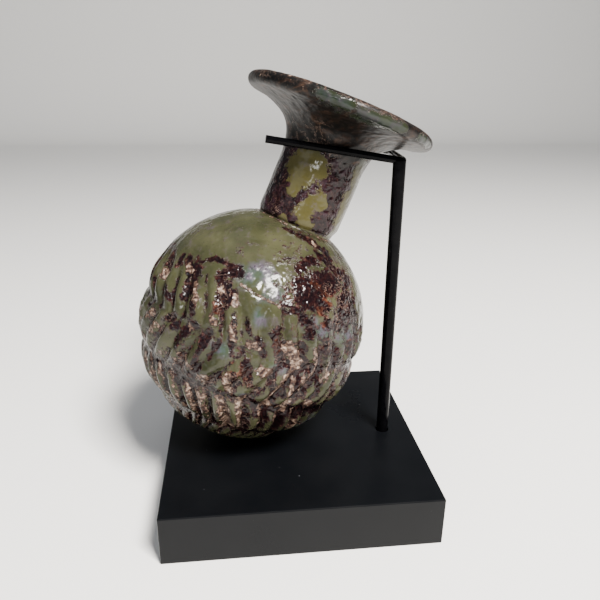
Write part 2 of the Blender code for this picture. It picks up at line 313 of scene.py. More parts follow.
# %% Press the slots and grooves in
GROOVE_DEPTH = 1.6
SLOT_DEPTH = 1.6
ROW_BLUNTNESS = 0.8
KNOB_BLUNTNESS = 0.75
SOFT_TOP_EDGE = 0.4
# Shares of a row: how softly the pattern ends, how far its end wanders, and how far out it lies
EDGE_FADE, EDGE_WANDER, EDGE_REACH = 0.7, 0.22, 0.2
# Every slot has this share of the depth at least, and up to the second share on top of it
LEAST_SLOT, SLOT_LUCK = 0.75, 0.5
# Towards the bottom the knobs crowd together and get shallower
FULL_DEPTH_FROM = 0.77

wander = EDGE_WANDER * lumps(points, 7.0, 51)
inward = np.minimum(row_place, KNOB_ROWS - row_place) + EDGE_REACH + wander
pattern = rising(inward, 0.0, EDGE_FADE) * (part == BODY)
cell = np.stack([np.round(knob) % KNOBS_PER_ROW, np.floor(row_place), np.zeros_like(knob)], axis=-1)
knob_luck = lattice(cell.astype(np.int64), 11)
along_row = np.sin(np.pi * (row_place % 1.0)) ** ROW_BLUNTNESS
crest = (0.5 + 0.5 * np.cos(2.0 * np.pi * knob)) ** KNOB_BLUNTNESS
groove = GROOVE_DEPTH * (1.0 - along_row) * rising(row_place, 0.0, SOFT_TOP_EDGE)
slot = SLOT_DEPTH * (LEAST_SLOT + SLOT_LUCK * knob_luck) * along_row * (1.0 - crest)
full_depth = rising(np.sin(np.radians(polar)), 0.0, FULL_DEPTH_FROM)
relief = -(groove + slot) * pattern * full_depth
print("deepest groove, mm:", round(float(-relief.min()), 2))

# %% [markdown]
# ## Marks of wear
#
# Long damp burial left dark crust in the slots, pale mineral on the knobs, rust stains and a
# thin rainbow sheen, and where the neck's crust fell off the glass is bare. These could be
# painted by hand as an image. Short strokes in numbers are used instead: they need no image and
# no unwrapping, and relief can follow them. A stroke is two ends and a half width in millimetres.
# On the body an end is an azimuth and a polar angle, and on the neck and lip it is an azimuth
# and a depth below the rim. A few strokes paint shade or a highlight instead, as noted where they stand.

# %% Dark crust on the body, and painted shade below the neck's foot
BODY_CRUST_AND_SHADE = [
    (-47, 62, -41, 64, 1.2), (-40, 61, -36, 67, 1.6), (-36, 67, -33, 74, 1.4), (-40, 68, -35, 78, 1.0),
    (-37, 60, -32, 56, 0.8), (-32, 56, -17, 56, 0.8), (-22, 61, -16, 58, 1.8), (-20, 64, -17, 76, 1.1),
    (-17, 62, -14, 72, 1.2), (-13, 66, -12, 69, 1.1), (-9, 74, -5, 84, 0.7), (-54, 77, -45, 81, 1.0),
    (-50, 92, -54, 99, 0.8), (-41, 95, -46, 102, 1.0), (-37, 87, -41, 90, 1.1), (-26, 86, -30, 97, 1.6),
    (-17, 86, -19, 104, 1.1), (-35, 106, -21, 108, 1.2), (-26, 101, -23, 106, 1.0),
    (-15, 109, -8, 108, 1.0), (-6, 87, -4, 91, 0.8), (3, 92, 8, 102, 1.5), (5, 81, 10, 87, 1.1),
    (11, 76, 17, 85, 1.5), (13, 67, 20, 64, 0.8), (18, 57, 42, 46, 4.2), (40, 36, 62, 47, 2.2),
    (30, 33, 44, 41, 1.4), (46, 56, 60, 52, 2.0), (22, 60, 35, 60, 2.4), (48, 62, 58, 62, 3.4),
    (39, 75, 51, 85, 2.0), (17, 92, 20, 104, 0.8), (24, 91, 26, 104, 0.8), (30, 93, 31, 104, 0.8),
    (35, 91, 37, 103, 0.8), (40, 91, 44, 101, 0.9), (13, 109, 19, 118, 1.1), (-18, 114, -12, 131, 1.0),
    (54, 50, 64, 70, 2.4), (62, 76, 68, 96, 2.0), (58, 100, 64, 114, 1.8), (45, 124, 49, 124, 1.2),
    (-52, 62, -50, 68, 0.9), (-62, 64, -60, 70, 1.0), (-46, 72, -44, 78, 0.8), (-56, 86, -60, 92, 0.9),
    (-48, 84, -50, 88, 0.7), (-32, 84, -35, 92, 0.8), (-11, 88, -13, 96, 0.8), (-30, 76, -27, 82, 0.8),
    (-3, 74, 1, 80, 0.6), (-68, 94, -72, 100, 1.0), (0, 100, 3, 107, 1.0), (22, 66, 30, 72, 1.6),
    (36, 66, 46, 68, 1.4), (-30, 64, -28, 68, 0.4), (-60, 66, -57, 72, 0.9), (-66, 80, -60, 86, 0.9),
    # The strokes from (-10, 24) to the end are painted shade on the shoulder below the neck's foot, drawn as
    # crust
    (16, 45, 24, 38, 1.6), (-10, 24, 2, 25, 0.8), (10, 25, 18, 26, 1.1), (24, 27, 40, 30, 1.6),
    (28, 33, 38, 35, 0.9),
]
print("strokes of crust:", len(BODY_CRUST_AND_SHADE))

# %% Pale mineral on the body, and one painted highlight
BODY_PALE = [
    (-44, 65, -40, 66, 0.7), (-33, 70, -29, 76, 0.7), (-19, 67, -19, 68, 0.6), (-18, 79, -16, 81, 0.7),
    (-8, 81, -6, 84, 0.7), (-27, 87, -26, 88, 0.7), (-58, 73, -56, 76, 1.0), (-57, 95, -53, 92, 0.9),
    (-50, 99, -47, 96, 0.9), (2, 84, 6, 85, 1.1), (11, 94, 15, 94, 1.1), (20, 80, 27, 87, 1.4),
    (33, 79, 35, 83, 0.8), (44, 94, 49, 91, 1.1), (-15, 108, -10, 106, 0.9), (-2, 102, 0, 109, 1.0),
    (-3, 115, -1, 118, 0.8), (1, 119, 9, 133, 1.1), (-14, 117, -11, 127, 1.0), (-24, 102, -20, 105, 0.7),
    (30, 107, 32, 113, 1.0), (43, 106, 47, 108, 1.0), (20, 110, 22, 111, 1.0), (26, 27, 29, 28, 0.6),
    (-12, 67, -10, 71, 0.6), (22, 94, 23, 100, 0.6), (28, 95, 29, 102, 0.6), (33, 93, 34, 100, 0.6),
    # The thin stroke from (-12, 62) to (10, 65) is a painted highlight, a streak of light below the window's
    # highlight
    (-12, 62, 10, 65, 0.35), (44, 122, 44, 126, 0.5), (50, 122, 50, 126, 0.5), (45, 121, 49, 121, 0.5),
    (45, 127, 49, 127, 0.5),
]
print("strokes of pale mineral:", len(BODY_PALE))

# %% Rust stains and cool sheen on the body
BODY_RUST = [
    (0, 95, 1, 99, 1.3), (34, 54, 38, 57, 1.1), (31, 62, 34, 66, 1.3), (20, 72, 23, 74, 1.0),
    (-18, 72, -17, 76, 1.0), (-27, 103, -25, 105, 1.0), (13, 79, 15, 83, 1.0), (26, 50, 30, 52, 0.9),
    (22, 81, 26, 85, 1.2), (4, 98, 8, 102, 1.2),
]
# The strokes at (-12, 58) and (2, 63) are painted highlight, the rainbow fringe round the highlight on the
# shoulder. The others are rainbow weathering.
BODY_COOL = [
    (-11, 92, -6, 90, 1.5), (17, 90, 28, 90, 1.8), (50, 70, 58, 72, 3.0), (8, 108, 10, 110, 1.6),
    (-7, 110, -5, 113, 1.5), (-12, 58, -3, 54, 2.4), (2, 63, 9, 60, 1.8), (1, 70, 3, 74, 1.4),
    (28, 70, 38, 72, 2.2),
]
print("strokes of rust and of sheen:", len(BODY_RUST), len(BODY_COOL))

# %% Bare glass on the neck and the lip
NECK_BARE = [
    (-24, 14, -10, 15, 2.0), (-36, 18, -2, 17, 2.1), (-24, 20, -12, 20, 2.4), (-24, 21, -22, 25, 1.3),
    (10, 25, 3, 30, 2.0), (60, 12, 66, 33, 2.0), (-20, 33, -16, 34, 1.0), (4, 30, 14, 33, 1.4),
    (120, 14, 140, 26, 2.8), (-140, 16, -160, 22, 2.2), (175, 28, 190, 32, 1.6),
]
LIP_BARE = [
    (-14, 0.2, 2, 0.6, 1.3), (8, 1.2, 34, 0.6, 1.2), (50, 0.4, 68, 0.6, 0.9), (110, 0.0, 140, 1.0, 1.2),
    (-160, 0.5, -130, 0.0, 1.3), (160, 1.2, 185, 0.8, 1.0),
]
print("bare patches on neck and lip:", len(NECK_BARE), len(LIP_BARE))

# %% Marks for the sides that the front view leaves out
BACK_STARTS, BACK_ENDS = 62.0, 295.0
MARK_LEAN = 4.0
MARK_FALL = 14.0


def unseen_marks(seed, chance, length, width):
    chosen = np.random.default_rng(seed)
    marks = []
    for band in range(KNOB_ROWS):
        for step in range(KNOBS_PER_ROW):
            place_round = BACK_STARTS + step * 360.0 / KNOBS_PER_ROW
            luck = chosen.random(4)
            if place_round > BACK_ENDS or luck[0] > chance:
                continue
            top = FIRST_GROOVE + ROW_PITCH * (band + 0.1 + 0.4 * luck[1])
            lean = (MARK_LEAN if band % 2 == 0 else -MARK_LEAN) * length
            marks.append((place_round, top, place_round + lean, top + MARK_FALL * length,
                          width * (0.6 + luck[2])))
    return marks


print("crust marks on the unseen sides:", len(unseen_marks(5, 0.6, 1.0, 1.0)))

# %% [markdown]
# ## From strokes to fields
#
# On the real bottle a patch of crust is thick in its middle and thins out to a torn edge. A
# stroke could simply be inside or outside, but then its edge would follow the mesh. A field is
# used instead: 1 in the middle of a stroke, a half at its edge, and 0 further out. Noise pulls
# at the distance, so the strokes lose their straight sides.

# %% The distance from every point to its nearest stroke
ragged = layered((2.4, 41, 0.45), (1.2, 42, 0.35))


def half_turn(degrees):
    """The same angle, written between -180 and 180 degrees."""
    return (degrees + 180.0) % 360.0 - 180.0


def stroke_field(marks, height, mm_down, mm_radius):
    """1 in the middle of a mark, a half at its edge, and 0 a half width further out."""
    strength = np.zeros(grid_shape)
    mm_round = np.radians(1.0) * mm_radius
    for start_round, start_down, end_round, end_down, half_width in marks:
        x = half_turn(around - start_round) * mm_round
        y = (height - start_down) * mm_down
        end_x = half_turn(end_round - start_round) * mm_round
        end_y = (end_down - start_down) * mm_down
        length = np.maximum(end_x ** 2 + end_y ** 2, 1e-6)
        share = np.clip((x * end_x + y * end_y) / length, 0.0, 1.0)
        away = np.hypot(x - share * end_x, y - share * end_y) + ragged * half_width
        strength = np.maximum(strength, np.clip(1.0 - 0.5 * away / half_width, 0.0, 1.0))
    return strength


print("edges wander by this share of a half width:", round(float(np.abs(ragged).max()), 2))

# %% Fields of the body's marks
body = (part == BODY).astype(float)
body_mm_radius = BODY_RADIUS * np.sin(np.radians(np.clip(polar, 5.0, 175.0)))
body_mm_down = np.radians(1.0) * BODY_HALF_HEIGHT
marked = {}
# Each name has its seen strokes, then the seed, chance, length and width of its unseen ones
for name, seen, unseen in (
        ("crust_and_shade", BODY_CRUST_AND_SHADE, (5, 0.6, 1.0, 1.0)), ("pale", BODY_PALE, (6, 0.4, 0.4, 0.9)),
        ("rust", BODY_RUST, (7, 0.12, 0.5, 1.2)), ("cool", BODY_COOL, (8, 0.15, 0.6, 1.5))):
    marks = seen + unseen_marks(*unseen)
    marked[name] = stroke_field(marks, polar, body_mm_down, body_mm_radius) * body
    print(name, "marks on the body:", len(marks))

# %% Fields of the neck and the lip
# The neck field is 0.6 on the tube and 1 on the flare, so one field tells the two apart
TUBE_LEVEL = 0.6
FLARE_ENDS, FLARE_FADE = 15.0, 4.0
above_body = (part == NECK) | (part == LIP)
mm_radius = over_grid(rings["radius"])
neck_bare = stroke_field(NECK_BARE, drop, 1.0, mm_radius) * (part == NECK)
lip_bare = stroke_field(LIP_BARE, drop, 1.0, mm_radius) * above_body
neck = (TUBE_LEVEL + (1.0 - TUBE_LEVEL) * falling(drop, FLARE_ENDS, FLARE_FADE)) * above_body
print("bare share of the neck:", round(float((neck_bare > 0.5)[part == NECK].mean()), 2))

# %% [markdown]
# ## Where the crust lies
#
# Crust gathers where damp earth stayed: in slots and grooves, low on the body, and to the right
# of the front, where the pattern is worn most. Pale mineral sits on one flank of each knob. Every
# patch could be placed by hand, but the lower rows hold hundreds. So rules about slots, grooves
# and height do most of the work, and the strokes add what is particular to this bottle. All
# fields count crust from 0 to 1, with its edge at a half.

# %% Noise for patches and torn edges
patchy = lumps(points, 7.0, 21)
sparse = lumps(points, 5.0, 24)
torn = layered((3.2, 22, 0.16), (1.6, 23, 0.12))
print("torn edges reach:", round(float(np.abs(torn).max()), 2))

# %% Crust in the slots and mineral on the flanks
# Places and half widths are shares of a knob's width or of a row's height
SLOT_HALF, SLOT_STEEPNESS = 0.17, 2.2
GROOVE_HALF, GROOVE_STEEPNESS = 0.08, 4.0
FLANK_PLACE, FLANK_HALF, FLANK_STEEPNESS = 0.28, 0.065, 3.6

from_slot = 0.5 - np.abs(knob - np.round(knob))
from_groove = np.minimum(row_place % 1.0, 1.0 - row_place % 1.0)
on_left_flank = (knob <= np.round(knob)).astype(float)
in_slot = 0.5 + (SLOT_HALF - from_slot) * SLOT_STEEPNESS
in_groove = 0.5 + (GROOVE_HALF - from_groove) * GROOVE_STEEPNESS
slot_crust = np.maximum(in_slot, in_groove) + torn
on_flank = 0.5 + (FLANK_HALF - np.abs(from_slot - FLANK_PLACE)) * FLANK_STEEPNESS
flank_pale = on_flank - 0.5 * on_left_flank + 1.8 * torn - 0.06
print("slots under crust, share of the body:", round(float((slot_crust > 0.5)[part == BODY].mean()), 2))

# %% Parts of the body that weathered differently
# All in degrees, round from the front or down from the top: where a part starts, and how softly
LOW_FROM, LOW_SPAN = 94.0, 16.0
RIGHT_FROM, RIGHT_SPAN, RIGHT_WANDER = 10.0, 10.0, 6.0
RIGHT_ENDS, RIGHT_FADE = 150.0, 40.0
WORN_FROM, WORN_SPAN = 72.0, 10.0
CLEAN_PLACE, CLEAN_REACH = (-2.0, 68.0), (14.0, 16.0)

low = rising(polar, LOW_FROM, LOW_SPAN)
wandering = around + RIGHT_WANDER * lumps(points, 5.0, 25)
right = rising(wandering, RIGHT_FROM, RIGHT_SPAN) * falling(around, RIGHT_ENDS, RIGHT_FADE)
lower_right = np.maximum(low, right * rising(polar, WORN_FROM, WORN_SPAN))
off_round = (around - CLEAN_PLACE[0]) / CLEAN_REACH[0]
off_down = (polar - CLEAN_PLACE[1]) / CLEAN_REACH[1]
clean_middle = np.clip(1.0 - np.hypot(off_round, off_down), 0.0, 1.0)


def band_at_foot(middle, half_width):
    """A band round the neck's foot, in degrees below it."""
    return np.clip(1.0 - np.abs(polar - outer_first - middle) / half_width, 0.0, 1.0)


print("share of the body that weathered hard:", round(float((lower_right > 0.5)[part == BODY].mean()), 2))

# %% Pale mineral, crust and painted shade on the body, layer over layer
# The weights were matched. A finish shows wherever the largest of its layers is over a half
pale_body = np.maximum(marked["pale"], flank_pale - 0.20 * patchy - 0.75 * (1.0 - lower_right))
pale_body = np.maximum(pale_body, 0.60 * band_at_foot(0.9, 1.5))

heavy = 0.22 * patchy + 0.10 * low + 0.14 * right
light = pattern * (0.26 * patchy + 0.34 * sparse - 0.33) - 0.9 * clean_middle
by_rule = slot_crust + np.where(lower_right > 0.5, heavy, light)
right_patch = (0.40 + 0.30 * patchy + 2.6 * torn) * right * rising(polar, 38.0, 14.0) * (polar < 76.0)
shoulder_haze = (0.24 + 0.22 * patchy + 0.8 * torn) * falling(polar, 62.0, 10.0)
# A thin band just below the neck's foot is painted shade under the crease, laid on as crust
crease_shade = (0.60 + torn) * band_at_foot(3.2, 1.6)
round_pale = np.clip(pale_body + 0.13, 0.0, 0.75)
crust_and_shade_body = np.where(pattern > 0.3, np.maximum(marked["crust_and_shade"], by_rule), marked["crust_and_shade"])
for layer in (right_patch, shoulder_haze, crease_shade, round_pale):
    crust_and_shade_body = np.maximum(crust_and_shade_body, layer)
print("share of the body under crust:", round(float((crust_and_shade_body > 0.5)[part == BODY].mean()), 2))

# %% The fields of the whole skin
crust_neck = np.clip(0.95 - neck_bare * 1.3 - lip_bare * 1.2, 0.0, 1.0) * (part == NECK)
crust_lip = np.clip(0.92 - lip_bare * 1.2, 0.0, 1.0) * (part == LIP)
crust_inside = np.clip(0.42 + 0.28 * patchy + torn, 0.0, 1.0) * (part == INSIDE)
grit_on_lip = (0.10 + 0.12 * np.clip(-drop, 0.0, 1.5)) * (part == LIP)
skin_fields = {
    "crust_and_shade": np.clip(crust_and_shade_body, 0.0, 1.0) * body + crust_neck + crust_lip + crust_inside,
    "pale": np.clip(pale_body, 0.0, 1.0) * body + grit_on_lip,
    "rust": marked["rust"],
    "cool": np.maximum(marked["cool"], lip_bare * 0.9),
    "neck": neck,
}
print("share of the outside under crust:", round(float((skin_fields["crust_and_shade"] > 0.5)[part > 0].mean()), 2))

# %% [markdown]
# ## Shaping the skin
#
# On the real bottle the surface is sunk and pitted under the crust, mineral stands up in grains,
# and even bare glass is gently wavy. A bump in the material could fake all this, but bump has no
# silhouette. Anything larger than about a millimetre is therefore moved for real, along the
# normals, from the same fields that carry the colour. At the end the bottle leans over and is
# set down where the solid stands.

# %% Move the points along their normals
def surface_normals(grid):
    along = np.gradient(grid, axis=0)
    round_it = np.roll(grid, -1, axis=1) - np.roll(grid, 1, axis=1)
    normal = np.cross(along, round_it)
    return normal / np.maximum(np.linalg.norm(normal, axis=-1, keepdims=True), 1e-9)


# Depths and heights in millimetres
WAVE_SINK = 0.10
CRUST_SINK, CRUST_GRAIN = 0.22, 0.16
PALE_RISE, PALE_GRAIN = 0.05, 0.16
NECK_GRAIN = 0.05

grain = layered((1.6, 31, 0.6), (0.9, 32, 0.4))
wave = layered((14.0, 33, 0.12), (5.0, 34, 0.07))
under_crust_and_shade = rising(skin_fields["crust_and_shade"], 0.4, 0.2)
capped = rising(skin_fields["pale"], 0.4, 0.2)
fine = wave - WAVE_SINK - under_crust_and_shade * body * (CRUST_SINK + CRUST_GRAIN * grain)
fine += capped * body * (PALE_RISE + PALE_GRAIN * grain) + under_crust_and_shade * (1.0 - body) * NECK_GRAIN * grain
shaped = points + surface_normals(points) * ((relief + fine * (part != INSIDE))[..., None])
print("fine relief from and to, mm:", round(float(fine.min()), 2), round(float(fine.max()), 2))

# %% Lean the bottle over and set it down
lean = np.array(Matrix.Rotation(LEAN_HEADING, 3, "Z") @ Matrix.Rotation(LEAN, 3, "Y"))
placed = shaped @ lean.T
cad_low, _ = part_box("bottle")
lift = cad_low[2] / MM - placed[..., 2].min()
placed += np.array([BODY_PLACE[0], BODY_PLACE[1], lift])
print("middle of the body, mm above the floor:", round(float(lift), 2))

# %% [markdown]
# ## The mesh
#
# The real bottle is one piece of glass with an inside and an outside, so its skin is one closed
# mesh. A Solidify modifier could thicken an open surface, but the inside here has its own, plain
# shape. Building the faces from the grid keeps them all quads in tidy rings, apart from a fan of
# triangles at each end, and the fields go onto its vertices as named attributes that the
# material reads.

# %% Faces between the rings
def grid_mesh(name, grid):
    """A closed skin: quads between rings, and a point at each end."""
    count, steps = grid.shape[:2]
    ends = np.stack([grid[0].mean(axis=0), grid[-1].mean(axis=0)])
    vertices = np.concatenate([grid.reshape(-1, 3), ends])
    first = np.arange(count - 1)[:, None] * steps
    here = np.arange(steps)[None, :]
    after = (here + 1) % steps
    quads = np.stack([first + here, first + steps + here, first + steps + after, first + after], axis=-1)
    low_cap = [(count * steps, i, (i + 1) % steps) for i in range(steps)]
    base = (count - 1) * steps
    high_cap = [(count * steps + 1, base + (i + 1) % steps, base + i) for i in range(steps)]
    mesh = bpy.data.meshes.new(name)
    mesh.from_pydata(vertices.tolist(), [], quads.reshape(-1, 4).tolist() + low_cap + high_cap)
    mesh.shade_smooth()
    return mesh


skin = grid_mesh("weathered_bottle", placed * MM)
print("triangles:", sum(len(face.vertices) - 2 for face in skin.polygons))

# %% The bottle in the model's frame
for name, values in skin_fields.items():
    flat = np.append(values.reshape(-1), [values[0].mean(), values[-1].mean()])
    layer = skin.attributes.new(name, "FLOAT", "POINT")
    layer.data.foreach_set("value", flat.astype(np.float32))

bottle = bpy.data.objects.new("weathered_bottle", skin)
bpy.context.scene.collection.objects.link(bottle)
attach(bottle, "root")
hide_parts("bottle")
print("fields on the skin:", list(skin_fields))

# %% [markdown]
# ## Colours and helpers for materials
#
# Every finish below is a small tree of nodes. One could be clicked together by hand, but a
# script says exactly what is linked to what. Colours are written in hex as they look on a
# screen, and one function makes them linear for the renderer. One function adds a node, and
# another lays a list of finishes over each other, the way they lie on the real surface.

# %% From screen colours to linear light
def linear(code):
    channels = [int(code[i:i + 2], 16) / 255.0 for i in (1, 3, 5)]
    made = [c / 12.92 if c <= 0.04045 else ((c + 0.055) / 1.055) ** 2.4 for c in channels]
    return (*made, 1.0)


print("olive in linear light:", [round(c, 3) for c in linear("#2d2e1e")])


# %% Nodes, finishes over each other, and a new material
def add_node(tree, kind, inputs=None, stops=(), **settings):
    """Add a node with its settings, its inputs as values or links, and a ramp's colour stops."""
    node = tree.nodes.new(kind)
    for name, value in settings.items():
        setattr(node, name, value)
    for key, value in (inputs or {}).items():
        if isinstance(value, bpy.types.NodeSocket):
            tree.links.new(value, node.inputs[key])
        else:
            node.inputs[key].default_value = value
    elements = node.color_ramp.elements if stops else []
    while len(elements) < len(stops):
        elements.new(0.5)
    for element, (position, code) in zip(elements, stops):
        element.position = position
        element.color = linear(code)
    return node


def lay_over(tree, tone, layers):
    """Lay finishes over a tone in turn. Each is the share of it that shows, and its own tone."""
    for share, layer_tone in layers:
        mix = add_node(tree, "ShaderNodeMix", {0: share, 6: tone, 7: layer_tone}, data_type="RGBA")
        tone = mix.outputs[2]
    return tone


def fresh_material(name):
    material = bpy.data.materials.new(name)
    material.use_nodes = True
    tree = material.node_tree
    return material, tree, tree.nodes["Principled BSDF"]


def per_metre(width):
    """A texture's Scale for lumps of a width in millimetres, since Blender counts in metres."""
    return 1.0 / (width * MM)


print("Scale for lumps of 1 mm:", per_metre(1.0))

# %% [markdown]
# ## Weathered olive glass
#
# The real material is soda-lime glass: blown, fire-bright at first, and dissolved a little by
# damp earth since. That gives the eye a deep olive with sharp highlights, a dark brown crust
# that is glossy too because it is thin flakes of glass, and chalky grains of mineral. It could
# be clear glass with light passing through, but crust outside and inside stops nearly all of
# it, so the glass is drawn opaque. The fields on the mesh say where each finish lies, and noise
# breaks up its edges.

# %% Noise patterns, each with its width in millimetres
# The widths were matched on the whole bottle, so they aren't round numbers. Real pits and
# grit are about 0.2 mm wide, which is less than a pixel here, so both are drawn coarser.
glass, tree, shader = fresh_material("weathered_olive_glass")
place = add_node(tree, "ShaderNodeTexCoord").outputs["Object"]
patterns = {}
for name, width, settings in (
        ("flakes", 0.9091, {"Detail": 4.0, "Roughness": 0.65}),
        ("blotches", 2.6316, {"Detail": 4.0, "Roughness": 0.6}),
        ("clouds", 11.765, {"Detail": 2.0}),
        ("grit", 0.43478, {"Detail": 2.0, "Roughness": 0.6}),
        ("veins", 1.20482, {"Detail": 5.0, "Roughness": 0.7, "Distortion": 0.5}),
        ("pits", 1.5625, {"Detail": 1.4}),
        ("dents", 2.6316, {"Detail": 1.0})):
    inputs = {"Vector": place, "Scale": per_metre(width), **settings}
    patterns[name] = add_node(tree, "ShaderNodeTexNoise", inputs).outputs["Fac"]
print("noise patterns:", list(patterns))

# %% Smoky streaks for the flare, drawn out one way
STREAK_WIDTH = 3.8462
drawn_out = add_node(tree, "ShaderNodeMapping", {
    "Vector": place, "Rotation": (0.3, 0.9, 0.0), "Scale": (1.0, 0.35, 1.6)}).outputs["Vector"]
patterns["streaks"] = add_node(tree, "ShaderNodeTexNoise", {
    "Vector": drawn_out, "Scale": per_metre(STREAK_WIDTH), "Detail": 5.0, "Roughness": 0.65,
    "Distortion": 0.8}).outputs["Fac"]
print("streak width, mm:", STREAK_WIDTH)


# %% Masks with broken edges
def broken_edge(field, tears, middle=0.5, softness=0.05, full=1.0):
    """A mask that is full where a field is over its middle, with an edge torn by patterns."""
    for pattern_name, reach in tears:
        field = add_node(tree, "ShaderNodeMath", {0: patterns[pattern_name], 1: reach, 2: field},
                         operation="MULTIPLY_ADD").outputs[0]
        middle += 0.5 * reach
    return add_node(tree, "ShaderNodeMapRange", {
        "Value": field, "From Min": middle - softness, "From Max": middle + softness,
        "To Max": full}).outputs["Result"]


on = {name: add_node(tree, "ShaderNodeAttribute", attribute_name=name).outputs["Fac"]
      for name in skin_fields}
crust_and_shade_mask = broken_edge(on["crust_and_shade"], (("flakes", 1.1), ("blotches", 0.9)), softness=0.10)
pale_mask = broken_edge(on["pale"], (("flakes", 1.7), ("blotches", 1.0)), softness=0.12)
rust_mask = broken_edge(on["rust"], (("blotches", 1.0), ("flakes", 1.2)), softness=0.18, full=0.8)
cool_mask = broken_edge(on["cool"], (("blotches", 2.0), ("flakes", 0.8)), softness=0.40, full=0.5)
# A stain that reaches out past the crust
stain_mask = broken_edge(on["crust_and_shade"], (("flakes", 2.222), ("blotches", 1.778)),
                         middle=0.5556, softness=0.3333, full=0.55)
print("masks made: crust, pale, rust, cool, stain")

# %% Masks for the flare, the tube of the neck and the body
# The neck field is multiplied by this to give the share of the tube's own tint
TUBE_TINT = 1.12
on_flare = add_node(tree, "ShaderNodeMapRange", {
    "Value": on["neck"], "From Min": 0.65, "From Max": 1.0}).outputs["Result"]
# On the flare the clean glass is tinted near black, partly painted shade under the mouth
flare_shade_share = add_node(tree, "ShaderNodeMath", {0: on_flare, 1: 0.7}, operation="MULTIPLY").outputs[0]
off_flare = add_node(tree, "ShaderNodeMath", {0: on["neck"], 1: on_flare}, operation="SUBTRACT").outputs[0]
tube_share = add_node(tree, "ShaderNodeMath", {0: off_flare, 1: TUBE_TINT}, operation="MULTIPLY").outputs[0]
on_body = add_node(tree, "ShaderNodeMath", {0: on["neck"], 1: 0.3}, operation="LESS_THAN").outputs[0]
print("share of the tube's own tint:", round(TUBE_TINT * TUBE_LEVEL, 2))

# %% Clean olive glass, a little milky and pocked, with a rainbow sheen
olive = add_node(tree, "ShaderNodeValToRGB", {"Fac": patterns["clouds"]}, [
    (0.30, "#212317"), (0.50, "#2d2e1e"), (0.72, "#3c3c2a")]).outputs["Color"]
sheen = add_node(tree, "ShaderNodeValToRGB", {"Fac": patterns["blotches"]}, [
    (0.38, "#2b4038"), (0.50, "#39444a"), (0.62, "#484055")]).outputs["Color"]
milky = add_node(tree, "ShaderNodeMapRange", {
    "Value": patterns["blotches"], "From Min": 0.48, "From Max": 0.72, "To Max": 0.093}).outputs["Result"]
pocks = add_node(tree, "ShaderNodeMapRange", {
    "Value": patterns["grit"], "From Min": 0.34, "From Max": 0.30, "To Max": 0.6}).outputs["Result"]
clean_glass = lay_over(tree, olive, [
    (milky, linear("#534d3a")),
    (stain_mask, linear("#382f27")),
    (pocks, linear("#14100b")),
    (tube_share, linear("#433e20")),
    (cool_mask, sheen),
    (flare_shade_share, linear("#10150d")),
])
print("nodes with the clean glass:", len(tree.nodes))

# %% Tones of the crust
# Brown lies on the body, purple on the tube and smoky on the flare, then red earth and mineral. The flare's
# smoky tone is near black, partly its crust and partly painted shade under the mouth.
crust_tones = {}
for name, pattern_name, stops in (
        ("brown", "veins", [(0.36, "#050203"), (0.49, "#15070b"), (0.59, "#28110f"), (0.74, "#503a33")]),
        ("purple", "blotches", [(0.34, "#040202"), (0.46, "#0c0607"), (0.55, "#1c0e12"), (0.66, "#33222a")]),
        ("smoky_shaded", "streaks", [(0.36, "#020202"), (0.50, "#070504"), (0.60, "#1c110b"), (0.72, "#3d2c20")]),
        ("red_earth", "veins", [(0.38, "#190908"), (0.52, "#33170f"), (0.68, "#5e3826")]),
        # The mineral tone also colours the one painted highlight streak on the body
        ("mineral_and_highlight", "veins", [(0.41, "#1d1110"), (0.50, "#433229"), (0.59, "#7b685b"), (0.70, "#a99789")])):
    inputs = {"Fac": patterns[pattern_name]}
    crust_tones[name] = add_node(tree, "ShaderNodeValToRGB", inputs, stops).outputs["Color"]
print("tones:", list(crust_tones))

# %% Specks, painted shade in the slots, and hairline scratches in the crust
specks = add_node(tree, "ShaderNodeMapRange", {
    "Value": patterns["grit"], "From Min": 0.62, "From Max": 0.72, "To Max": 0.35}).outputs["Result"]
# Where the crust field is deepest, in the middle of the slots, the crust is painted darker as shade in the
# recess
deep = add_node(tree, "ShaderNodeMapRange", {
    "Value": on["crust_and_shade"], "From Min": 0.58, "From Max": 0.80, "To Max": 0.55}).outputs["Result"]
painted_slot_shade = add_node(tree, "ShaderNodeMath", {0: deep, 1: on_body}, operation="MULTIPLY").outputs[0]
# A scratch follows the line where the blotches pass through their middle value
from_line = add_node(tree, "ShaderNodeMath", {0: patterns["blotches"], 1: 0.5}, operation="SUBTRACT")
from_line = add_node(tree, "ShaderNodeMath", {0: from_line.outputs[0]}, operation="ABSOLUTE").outputs[0]
lines = add_node(tree, "ShaderNodeMapRange", {
    "Value": from_line, "From Min": 0.010, "From Max": 0.004, "To Max": 0.45}).outputs["Result"]
in_places = add_node(tree, "ShaderNodeMapRange", {
    "Value": patterns["clouds"], "From Min": 0.50, "From Max": 0.62}).outputs["Result"]
scratches = add_node(tree, "ShaderNodeMath", {0: lines, 1: in_places}, operation="MULTIPLY").outputs[0]
print("nodes so far:", len(tree.nodes))

# %% The colour of the whole bottle
crust_and_shade_colour = lay_over(tree, crust_tones["brown"], [
    (on["neck"], crust_tones["purple"]),
    (on_flare, crust_tones["smoky_shaded"]),
    (rust_mask, crust_tones["red_earth"]),
    (specks, linear("#4c3c34")),
    (painted_slot_shade, linear("#060304")),
    (scratches, linear("#8a7468")),
])
colour = lay_over(tree, clean_glass, [(crust_and_shade_mask, crust_and_shade_colour), (pale_mask, crust_tones["mineral_and_highlight"])])
tree.links.new(colour, shader.inputs["Base Color"])
print("colour comes from:", colour.node.bl_idname)

